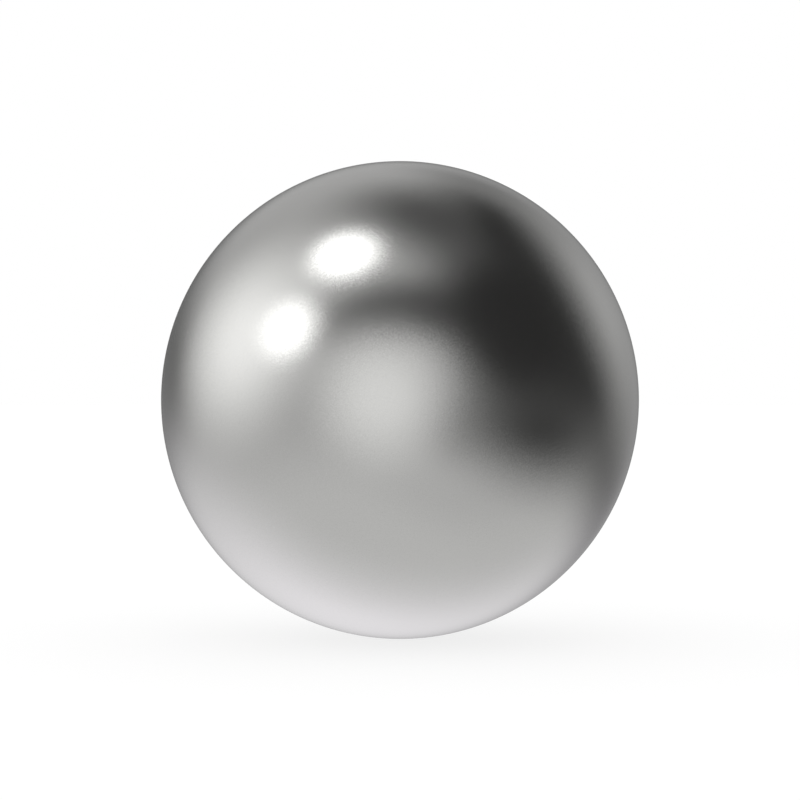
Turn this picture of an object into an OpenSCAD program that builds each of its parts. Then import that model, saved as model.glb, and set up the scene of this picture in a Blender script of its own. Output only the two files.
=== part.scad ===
// Solid polished steel ball, of the kind used in bearings, valves and desk toys.
// The origin is the centre of the ball, and +Z points up from its seat.
// Sizes are in millimetres.

/* [Ball] */
// Diameter of the ball
ball_d = 25.4; // [1:0.1:100]

/* [Preview] */
// Sides of the ball's outline in the preview
facets = 128; // [32:8:256]

/* [Hidden] */

// The ball is one solid, ground and lapped all over, with no seam, flat or bore.
module ball() {
    color("silver")
        sphere(d = ball_d, $fn = facets);
}

ball();
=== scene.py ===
"""Looks of the steel ball: its lapped skin, a pale floor, a soft studio and the camera.

The ball is one solid piece, and the origin is its centre. Lengths are in metres unless a name ends in
mm, and angles are in degrees. Azimuth 0 is on the camera's side (-Y) and 90 is on its right (+X).
"""

import logging
import math
from dataclasses import dataclass
from enum import Enum
from typing import Any

import bpy
from mathutils import Matrix, Vector


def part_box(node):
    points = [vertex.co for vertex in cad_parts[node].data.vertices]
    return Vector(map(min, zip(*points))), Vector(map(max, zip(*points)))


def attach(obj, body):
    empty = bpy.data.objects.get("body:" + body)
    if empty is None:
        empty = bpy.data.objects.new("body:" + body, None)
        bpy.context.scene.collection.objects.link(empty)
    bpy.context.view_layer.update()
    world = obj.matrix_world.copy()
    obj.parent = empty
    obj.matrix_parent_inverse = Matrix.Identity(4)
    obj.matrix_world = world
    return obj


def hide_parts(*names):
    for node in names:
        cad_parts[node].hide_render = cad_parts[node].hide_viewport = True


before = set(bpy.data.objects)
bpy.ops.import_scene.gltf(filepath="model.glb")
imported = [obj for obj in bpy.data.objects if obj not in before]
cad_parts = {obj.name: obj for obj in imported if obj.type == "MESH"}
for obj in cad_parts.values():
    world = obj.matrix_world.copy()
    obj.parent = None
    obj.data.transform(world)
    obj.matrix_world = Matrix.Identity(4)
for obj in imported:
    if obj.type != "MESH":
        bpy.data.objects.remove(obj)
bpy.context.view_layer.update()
LOG = logging.getLogger("steel_ball")

# One millimetre, in metres.
MM = 0.001
# The value that a noise node's outputs swing about.
NOISE_MIDDLE = 0.5

Colour = tuple[float, float, float]
WHITE: Colour = (1.0, 1.0, 1.0)
LAVENDER: Colour = (1.0, 0.98, 1.02)


def grey(tone: float) -> Colour:
    """Returns a neutral colour of a given tone."""
    return (tone, tone, tone)


# ---------------------------------------------------------------- nodes


class Nodes:
    """Adds nodes to one tree and feeds their sockets."""

    def __init__(self, tree: bpy.types.NodeTree) -> None:
        """Takes over a tree and empties it."""
        self.tree = tree
        tree.nodes.clear()

    def add(
        self,
        kind: str,
        settings: dict[str, Any] | None = None,
        sockets: dict[str | int, Any] | None = None,
    ) -> bpy.types.Node:
        """Adds one node.

        Args:
            kind: The node's type.
            settings: The node's own settings, which are set before its sockets are.
            sockets: A value, a socket or a Value for each input, by name or number.

        Returns:
            The new node.
        """
        node = self.tree.nodes.new(kind)
        for name, setting in (settings or {}).items():
            setattr(node, name, setting)
        for key, given in (sockets or {}).items():
            self.feed(node.inputs[key], given)
        return node

    def feed(self, target: bpy.types.NodeSocket, given: Any) -> None:
        """Links a socket or a Value to an input, or sets the input's own value.

        Args:
            target: The input socket.
            given: What it is fed with.
        """
        source = given.socket if isinstance(given, Value) else given
        if isinstance(source, bpy.types.NodeSocket):
            self.tree.links.new(source, target)
        else:
            target.default_value = source

    def value(self, socket: bpy.types.NodeSocket) -> "Value":
        """Wraps a number socket, so that arithmetic works on it."""
        return Value(self, socket)

    def vector_math(self, operation: str, *given: Any, scale: Any = None) -> bpy.types.Node:
        """Adds a Vector Math node.

        Args:
            operation: What the node does.
            given: Its vectors, in order.
            scale: Its scale, for the operation that has one.

        Returns:
            The new node.
        """
        sockets = dict(enumerate(given))
        if scale is not None:
            sockets["Scale"] = scale
        return self.add("ShaderNodeVectorMath", {"operation": operation}, sockets)

    def mix(self, mask: Any, under: Any, over: Any) -> bpy.types.NodeSocket:
        """Lays one colour over another.

        Args:
            mask: How much of the upper colour shows, from 0 to 1.
            under: The lower colour, or its socket.
            over: The upper colour, or its socket.

        Returns:
            The mixed colour's socket.
        """
        lower, upper = (
            colour if isinstance(colour, bpy.types.NodeSocket) else (*colour, 1.0)
            for colour in (under, over)
        )
        sockets = {"Factor": mask, "A": lower, "B": upper}
        return self.add("ShaderNodeMix", {"data_type": "RGBA"}, sockets).outputs["Result"]

    def eased(self, value: Any, start: float, end: float) -> "Value":
        """Rises smoothly from 0, where value is start, to 1, where it is end.

        Args:
            value: The number that is read.
            start: Where the rise starts.
            end: Where the rise ends, which may be below start.

        Returns:
            The eased number, from 0 to 1.
        """
        node = self.add(
            "ShaderNodeMapRange",
            {"interpolation_type": "SMOOTHSTEP"},
            {"Value": value, "From Min": start, "From Max": end},
        )
        return self.value(node.outputs["Result"])

    def noise(self, place: Any, size_mm: float, detail: float = 2.0, flat: bool = False) -> "Value":
        """Smooth noise around 0, mostly between -0.25 and 0.25.

        Args:
            place: The point that it reads, or one number where flat is set.
            size_mm: The size of its swells.
            detail: How many finer layers it has.
            flat: Whether it reads one number, as for marks that run along a line.

        Returns:
            The noise.
        """
        entry = "W" if flat else "Vector"
        node = self.add(
            "ShaderNodeTexNoise",
            {"noise_dimensions": "1D" if flat else "3D"},
            {entry: place, "Scale": 1 / (size_mm * MM), "Detail": detail},
        )
        return self.value(node.outputs["Fac"]) - NOISE_MIDDLE


class Value:
    """A number socket on which Python's arithmetic adds Math nodes."""

    def __init__(self, nodes: Nodes, socket: bpy.types.NodeSocket) -> None:
        """Keeps the socket and the tree that it belongs to."""
        self.nodes = nodes
        self.socket = socket

    def _math(self, operation: str, first: Any, second: Any) -> "Value":
        """Adds a Math node.

        Args:
            operation: What the node does.
            first: Its first number.
            second: Its second number.

        Returns:
            The node's result.
        """
        node = self.nodes.add("ShaderNodeMath", {"operation": operation}, {0: first, 1: second})
        return Value(self.nodes, node.outputs[0])

    def __add__(self, other: Any) -> "Value":
        """Returns self + other."""
        return self._math("ADD", self, other)

    def __radd__(self, other: Any) -> "Value":
        """Returns other + self."""
        return self._math("ADD", other, self)

    def __sub__(self, other: Any) -> "Value":
        """Returns self - other."""
        return self._math("SUBTRACT", self, other)

    def __rsub__(self, other: Any) -> "Value":
        """Returns other - self."""
        return self._math("SUBTRACT", other, self)

    def __mul__(self, other: Any) -> "Value":
        """Returns self * other."""
        return self._math("MULTIPLY", self, other)

    def __rmul__(self, other: Any) -> "Value":
        """Returns other * self."""
        return self._math("MULTIPLY", other, self)


# ---------------------------------------------------------------- the ball's finish


class Lap(Enum):
    """The axes about which the ball turned between the lapping plates."""

    FIRST = (0.36, -0.48, 0.80)
    SECOND = (-0.80, 0.36, 0.48)
    THIRD = (0.60, 0.80, 0.0)
    FOURTH = (0.0, -0.60, 0.80)


@dataclass(frozen=True)
class LappedSteel:
    """Hard steel, ground and lapped to a satin polish: even, neutral and a touch warm.

    Attributes:
        name: The material's name.
        colour: The metal's colour, as linear light.
        roughness: The roughness of the polish.
        patch_mm: The size of the broad, faint patches in it.
        patch_tone: How much they lighten and darken the metal, as a share.
        patch_haze: How much they change the roughness.
        frost_mm: The size of the facets that frost the polish.
        frost_tone: How much the facets' tones differ, as a share.
        frost_lean: How far the facets lean out of the surface, as a slope.
        line_mm: The spacing of the lapping lines.
        line_depth_mm: The depth of the lapping lines.
        lap_mm: The size of the patches in which one lap's lines show.
        lap_fade: The levels of the patches' noise between which the lines come in.
    """

    name: str = "lapped_steel"
    colour: Colour = (0.64, 0.638, 0.624)
    roughness: float = 0.20
    patch_mm: float = 6.0
    patch_tone: float = 0.03
    patch_haze: float = 0.02
    frost_mm: float = 0.06
    frost_tone: float = 0.06
    frost_lean: float = 0.06
    line_mm: float = 0.12
    line_depth_mm: float = 0.0006
    lap_mm: float = 6.0
    lap_fade: tuple[float, float] = (-0.05, 0.15)

    def material(self) -> bpy.types.Material:
        """Builds the finish.

        Returns:
            The material.
        """
        material = bpy.data.materials.new(self.name)
        material.use_nodes = True
        nodes = Nodes(material.node_tree)
        place = nodes.add("ShaderNodeTexCoord").outputs["Object"]
        patches = nodes.noise(place, self.patch_mm)
        facets = nodes.add(
            "ShaderNodeTexNoise",
            {},
            {"Vector": place, "Scale": 1 / (self.frost_mm * MM), "Detail": 0.0},
        )
        frost = nodes.value(facets.outputs["Fac"]) - NOISE_MIDDLE
        tone = 1 + patches * self.patch_tone + frost * self.frost_tone
        bump = nodes.add(
            "ShaderNodeBump",
            {},
            {
                "Height": sum(self._lines(nodes, place, lap) for lap in Lap),
                "Distance": MM,
                "Normal": self._frosted(nodes, facets.outputs["Color"]),
            },
        )
        shader = nodes.add(
            "ShaderNodeBsdfPrincipled",
            {},
            {
                "Base Color": nodes.vector_math("SCALE", self.colour, scale=tone).outputs["Vector"],
                "Metallic": 1.0,
                "Roughness": self.roughness + patches * self.patch_haze,
                "Normal": bump.outputs["Normal"],
            },
        )
        nodes.add("ShaderNodeOutputMaterial", {}, {"Surface": shader.outputs["BSDF"]})
        return material

    def _frosted(self, nodes: Nodes, facets: bpy.types.NodeSocket) -> bpy.types.NodeSocket:
        """Leans the surface a little, facet by facet.

        Args:
            nodes: The material's nodes.
            facets: Noise with a channel for each direction, which swings about its middle.

        Returns:
            The normal's socket.
        """
        upright = nodes.add("ShaderNodeNewGeometry").outputs["Normal"]
        lean = nodes.vector_math("SUBTRACT", facets, grey(NOISE_MIDDLE)).outputs["Vector"]
        lean = nodes.vector_math("SCALE", lean, scale=self.frost_lean).outputs["Vector"]
        leaning = nodes.vector_math("ADD", upright, lean).outputs["Vector"]
        return nodes.vector_math("NORMALIZE", leaning).outputs["Vector"]

    def _lines(self, nodes: Nodes, place: bpy.types.NodeSocket, lap: Lap) -> Value:
        """One lap's lines: faint circles about its axis, where that lap cut last.

        Args:
            nodes: The material's nodes.
            place: The point on the ball.
            lap: The lap that cut them.

        Returns:
            Their height, in millimetres.
        """
        along = nodes.vector_math("DOT_PRODUCT", place, lap.value).outputs["Value"]
        lines = nodes.noise(along, self.line_mm, detail=1.0, flat=True)
        # The shift gives each lap patches of its own.
        shifted = nodes.vector_math("ADD", place, lap.value).outputs["Vector"]
        shown = nodes.eased(nodes.noise(shifted, self.lap_mm), *self.lap_fade)
        return lines * shown * self.line_depth_mm


# ---------------------------------------------------------------- the ball


@dataclass
class SteelBall:
    """The ball, as one closed skin of even quads with no poles.

    Attributes:
        radius: The ball's radius.
        finish: What it is made of.
        divisions: How many faces there are along each edge of the six patches.
        node: The CAD node that it stands for.
        slot: The name of a material slot for its finish; not used.
    """

    radius: float
    finish: LappedSteel
    divisions: int = 96
    node: str = "ball"
    slot: str = "polished_steel"

    def build(self) -> bpy.types.Object:
        """Makes the ball and joins it to the frame.

        Returns:
            The ball.
        """
        material = self.finish.material()
        ball = bpy.data.objects.new("steel_ball", bpy.data.meshes.new("steel_ball"))
        bpy.context.scene.collection.objects.link(ball)
        inputs = {"Radius": self.radius, "Divisions": self.divisions, "Finish": material}
        self._grow(ball, self._skin_tree(), inputs)
        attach(ball, "root")
        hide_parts(self.node)
        return ball

    def _skin_tree(self) -> bpy.types.GeometryNodeTree:
        """Builds the tree that swells a divided cube into an even sphere.

        The cube runs from -1 to 1 each way, so the tangent of its points' places, as shares of an
        eighth of a turn, spreads the divisions evenly over each of its six patches.

        Returns:
            The tree, with inputs Radius, Divisions and Finish.
        """
        tree = bpy.data.node_groups.new("ball_skin", "GeometryNodeTree")
        nodes = Nodes(tree)
        for name, kind in (("Radius", "Float"), ("Divisions", "Int"), ("Finish", "Material")):
            tree.interface.new_socket(name, in_out="INPUT", socket_type=f"NodeSocket{kind}")
        tree.interface.new_socket("Skin", in_out="OUTPUT", socket_type="NodeSocketGeometry")
        sizes = nodes.add("NodeGroupInput").outputs
        points = nodes.value(sizes["Divisions"]) + 1
        cube = nodes.add(
            "GeometryNodeMeshCube",
            {},
            {"Size": (2, 2, 2), "Vertices X": points, "Vertices Y": points, "Vertices Z": points},
        )
        place = nodes.add("GeometryNodeInputPosition").outputs["Position"]
        angle = nodes.vector_math("SCALE", place, scale=math.pi / 4).outputs["Vector"]
        spread = nodes.vector_math("TANGENT", angle).outputs["Vector"]
        outward = nodes.vector_math("NORMALIZE", spread).outputs["Vector"]
        swollen = nodes.vector_math("SCALE", outward, scale=sizes["Radius"]).outputs["Vector"]
        skin = nodes.add(
            "GeometryNodeSetPosition", {}, {"Geometry": cube.outputs["Mesh"], "Position": swollen}
        )
        smooth = nodes.add("GeometryNodeSetShadeSmooth", {}, {"Geometry": skin.outputs["Geometry"]})
        real = nodes.add(
            "GeometryNodeRealizeInstances", {}, {"Geometry": smooth.outputs["Geometry"]}
        )
        dressed = nodes.add(
            "GeometryNodeSetMaterial",
            {},
            {"Geometry": real.outputs["Geometry"], "Material": sizes["Finish"]},
        )
        nodes.add("NodeGroupOutput", {}, {"Skin": dressed.outputs["Geometry"]})
        return tree

    def _grow(
        self, piece: bpy.types.Object, tree: bpy.types.GeometryNodeTree, inputs: dict[str, Any]
    ) -> None:
        """Runs a tree on a piece and keeps the result as the piece's plain mesh.

        Args:
            piece: The object that gets the mesh.
            tree: The tree that makes it.
            inputs: The value of each of the tree's inputs, by name.
        """
        modifier = piece.modifiers.new("skin", "NODES")
        modifier.node_group = tree
        for socket in tree.interface.items_tree:
            if socket.name in inputs:
                modifier[socket.identifier] = inputs[socket.name]
        graph = bpy.context.evaluated_depsgraph_get()
        mesh = bpy.data.meshes.new_from_object(piece.evaluated_get(graph), depsgraph=graph)
        piece.modifiers.remove(modifier)
        piece.data = mesh


# ---------------------------------------------------------------- the studio


@dataclass(frozen=True)
class Card:
    """A soft-edged round lamp, panel, dark flag or patch of wall or floor, as the ball sees it.

    Attributes:
        name: What it is.
        azimuth: The direction of its middle, round the ball.
        elevation: How far its middle stands above level.
        width: Half the angle that it takes from side to side.
        height: Half the angle that it takes from top to bottom.
        tone: Its brightness, where 1 is white.
        softness: How much of its radius its edge takes, inwards and outwards, up to 1.
        tint: The colour of its light.
    """

    name: str
    azimuth: float
    elevation: float
    width: float
    height: float
    tone: float
    softness: float = 1.0
    tint: Colour = WHITE

    def shade(self) -> Colour:
        """Returns the card's colour at its brightness."""
        return tuple(self.tone * part for part in self.tint)

    def mask(self, nodes: Nodes, direction: bpy.types.NodeSocket) -> Value:
        """How much of the card is seen in a direction, from 0 to 1.

        Args:
            nodes: The world's nodes.
            direction: The direction that is looked in, as a unit vector.

        Returns:
            The mask.
        """
        turn = (
            Matrix.Rotation(math.radians(self.azimuth), 3, "Z")
            @ Matrix.Rotation(math.radians(-self.elevation), 3, "X")
        )
        middle = turn @ Vector((0, -1, 0))
        width, height = (math.sin(math.radians(side)) for side in (self.width, self.height))
        card = nodes.add(
            "ShaderNodeMapping",
            {"vector_type": "TEXTURE"},
            {
                "Vector": direction,
                "Location": middle,
                "Rotation": turn.to_euler(),
                "Scale": (width, max(width, height), height),
            },
        )
        across = nodes.vector_math("LENGTH", card.outputs["Vector"]).outputs["Value"]
        return nodes.eased(across, 1 + self.softness, 1 - self.softness)


@dataclass(frozen=True)
class Studio:
    """A grey room with a pale floor, dark flags, a doorway, soft panels and two lamps.

    Attributes:
        room: The tone of its walls.
        floor: The tone of its floor.
        floor_edge: The elevations between which the wall fades into the floor.
        behind: The cards that hang on the walls, from the back to the front.
        above: The cards and lamps in front of wall and floor alike, from the back to the front.
        plain: The even light that falls on anything dull, such as the floor's paint.
        backdrop: What the camera sees behind the ball, where 1 is white.
    """

    room: float
    floor: float
    floor_edge: tuple[float, float]
    behind: tuple[Card, ...]
    above: tuple[Card, ...]
    plain: float = 1.0
    backdrop: float = 1.0

    def build(self) -> bpy.types.World:
        """Makes the world.

        Light sampling can't tell one kind of ray from another, so it is off.

        Returns:
            The world.
        """
        world = bpy.data.worlds.new("soft_studio")
        world.use_nodes = True
        world.cycles.sampling_method = "NONE"
        nodes = Nodes(world.node_tree)
        ray = nodes.add("ShaderNodeLightPath").outputs
        mirrored = nodes.value(ray["Is Glossy Ray"])
        passed = nodes.value(ray["Is Transmission Ray"])
        shiny = 1 - (1 - mirrored) * (1 - passed)
        seen = nodes.mix(shiny, grey(self.plain), self._room(nodes))
        seen = nodes.mix(ray["Is Camera Ray"], seen, grey(self.backdrop))
        light = nodes.add("ShaderNodeBackground", {}, {"Color": seen, "Strength": 1.0})
        nodes.add("ShaderNodeOutputWorld", {}, {"Surface": light.outputs["Background"]})
        bpy.context.scene.world = world
        return world

    def _room(self, nodes: Nodes) -> bpy.types.NodeSocket:
        """Hangs the cards in front of the walls and the floor.

        Args:
            nodes: The world's nodes.

        Returns:
            The colour of the room in each direction.
        """
        direction = nodes.add("ShaderNodeTexCoord").outputs["Generated"]
        height = nodes.add("ShaderNodeSeparateXYZ", {}, {"Vector": direction}).outputs["Z"]
        top, bottom = (math.sin(math.radians(edge)) for edge in self.floor_edge)
        room = grey(self.room)
        for card in self.behind:
            room = nodes.mix(card.mask(nodes, direction), room, card.shade())
        room = nodes.mix(nodes.eased(height, top, bottom), room, grey(self.floor))
        for card in self.above:
            room = nodes.mix(card.mask(nodes, direction), room, card.shade())
        return room


@dataclass(frozen=True)
class Floor:
    """A plain pale floor that the ball rests on.

    Attributes:
        level: The floor's height.
        reach: Half the length of its side.
        paleness: How much of the studio's light it gives back.
        lift: The brightness that it has by itself, to the camera, which fills up to white.
    """

    level: float
    reach: float = 5.0
    paleness: float = 0.25
    lift: float = 0.77

    def build(self) -> bpy.types.Object:
        """Makes the floor.

        Returns:
            The floor.
        """
        mesh = bpy.data.meshes.new("floor")
        corners = ((-1, -1), (1, -1), (1, 1), (-1, 1))
        points = [(x * self.reach, y * self.reach, self.level) for x, y in corners]
        mesh.from_pydata(points, [], [(0, 1, 2, 3)])
        mesh.materials.append(self._material())
        floor = bpy.data.objects.new("floor", mesh)
        bpy.context.scene.collection.objects.link(floor)
        floor.visible_glossy = False
        return floor

    def _material(self) -> bpy.types.Material:
        """Builds the floor's paint, which keeps the ball's soft shadow.

        Returns:
            The material.
        """
        material = bpy.data.materials.new("pale_floor")
        material.use_nodes = True
        nodes = Nodes(material.node_tree)
        paint = nodes.add("ShaderNodeBsdfDiffuse", {}, {"Color": (*grey(self.paleness), 1.0)})
        camera = nodes.value(nodes.add("ShaderNodeLightPath").outputs["Is Camera Ray"])
        glow = nodes.add("ShaderNodeEmission", {}, {"Strength": camera * self.lift})
        both = nodes.add("ShaderNodeAddShader", {}, {0: paint.outputs[0], 1: glow.outputs[0]})
        nodes.add("ShaderNodeOutputMaterial", {}, {"Surface": both.outputs[0]})
        return material


@dataclass(frozen=True)
class LevelCamera:
    """A camera level with the ball's centre, which looks along +Y.

    Attributes:
        lens_mm: Its focal length.
        sensor_mm: The width of its sensor.
        share: How much of the picture's width the ball takes.
        nearest: The distance from which it sees things, as a share of the ball's radius.
    """

    lens_mm: float = 100.0
    sensor_mm: float = 36.0
    share: float = 0.5974
    nearest: float = 0.1

    def place(self, radius: float) -> bpy.types.Object:
        """Makes the camera and stands it off so that the ball takes its share.

        Args:
            radius: The ball's radius.

        Returns:
            The camera.
        """
        lens = bpy.data.cameras.new("camera")
        lens.lens = self.lens_mm
        lens.sensor_width = self.sensor_mm
        lens.clip_start = radius * self.nearest
        edge = math.atan(self.share * self.sensor_mm / 2 / self.lens_mm)
        camera = bpy.data.objects.new("camera", lens)
        camera.location = (0, -radius / math.sin(edge), 0)
        camera.rotation_euler = (math.pi / 2, 0, 0)
        bpy.context.scene.collection.objects.link(camera)
        bpy.context.scene.camera = camera
        return camera


# The room that the ball mirrors. A card's first numbers are the azimuth and elevation of its middle,
# then half its width and half its height.
STUDIO = Studio(
    room=0.51,
    floor=0.68,
    floor_edge=(0, -50),
    behind=(
        Card("roof", 130, 80, 25, 19, tone=0.1, softness=0.8),
        Card("front flag", 5, 43, 44, 14, tone=0.1, softness=0.7),
        Card("ceiling", 119, 52, 25, 15, tone=0.03, softness=0.7),
        Card("wall end", 162, 33, 10, 10, tone=0.28),
        Card("right wall", 102, 25, 55, 42, tone=0.04, softness=0.5),
        Card("flag", 60, 30, 32, 38, tone=0.03, softness=0.5),
        Card("corner", -150, 3, 29, 15, tone=0.16, softness=0.8),
        Card("doorway", 180, 5, 18, 12, tone=0.1),
    ),
    above=(
        Card("floor patch", 40, -44, 36, 13, tone=0.6),
        Card("floor shade", 70, -12, 44, 17, tone=0.05),
        Card("back shade", 145, -18, 34, 13, tone=0.08, softness=0.9),
        Card("right panel", 135, 18, 20, 20, tone=0.47, softness=0.9),
        Card("right floor", 165, -52, 32, 20, tone=0.6),
        Card("back floor", -163, -48, 37, 27, tone=1.1, tint=LAVENDER),
        Card("left panel", -86, 22, 27, 25, tone=1.3, softness=0.9),
        Card("front panel", -9, 2, 24, 25, tone=1.0, softness=0.8),
        Card("lower lamp", -60, 29, 10, 9, tone=2.7),
        Card("upper lamp", -58, 66, 10, 9, tone=3.6),
    ),
)


def main() -> None:
    """Builds the camera, the ball, the floor and the studio."""
    logging.basicConfig(level=logging.INFO, format="%(name)s: %(message)s")
    LOG.info("CAD nodes: %d", len(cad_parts))
    low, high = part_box("ball")
    radius = (high.z - low.z) / 2
    camera = LevelCamera().place(radius)
    LOG.info("camera at %.1f mm from the ball's centre", -camera.location.y / MM)
    ball = SteelBall(radius, LappedSteel()).build()
    LOG.info("%s: %d faces, radius %.2f mm", ball.name, len(ball.data.polygons), radius / MM)
    floor = Floor(low.z).build()
    LOG.info("%s at %.2f mm", floor.name, low.z / MM)
    world = STUDIO.build()
    LOG.info("%s with %d nodes", world.name, len(world.node_tree.nodes))
    bpy.context.scene.view_settings.view_transform = "Standard"


if __name__ == "__main__":
    main()
